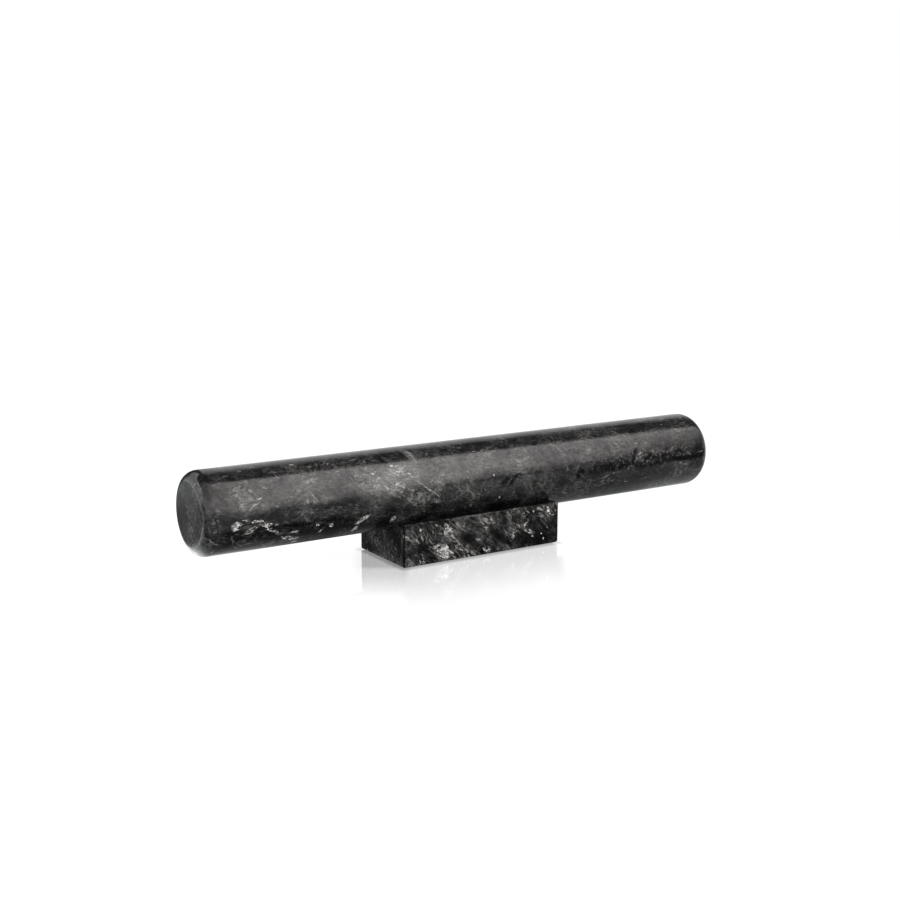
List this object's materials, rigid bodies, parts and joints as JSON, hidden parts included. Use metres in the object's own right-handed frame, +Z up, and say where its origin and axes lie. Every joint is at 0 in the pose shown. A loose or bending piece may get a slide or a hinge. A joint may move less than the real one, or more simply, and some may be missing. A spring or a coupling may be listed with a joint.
{
  "type": "rolling pin",
  "caption": "Handle-less polished stone rolling pin lying in the round groove of a small stone cradle block, from which it lifts straight up.",
  "frame": {"origin": "on the worktop under the middle of the roller, in the plane that the cradle's pads stand on", "axes": "+X along the roller, -Y towards the front, +Z up"},
  "size_m": [0.373, 0.0544, 0.0696],
  "materials": {
    "roller_marble": "polished black marble with grey clouds and white veins",
    "cradle_marble": "polished black marble with grey clouds and white veins",
    "pad": "matt"
  },
  "bodies": {
    "cradle": {"cradle_block": "cradle_marble", "foot_pad_front_left": "pad", "foot_pad_front_right": "pad", "foot_pad_rear_left": "pad", "foot_pad_rear_right": "pad"},
    "roller": {"roller": "roller_marble"}
  },
  "joints": [
    {"name": "roller_lift", "type": "slide", "parent": "cradle", "child": "roller", "axis": [0, 0, 1], "range_m": [0, 0.06]}
  ]
}
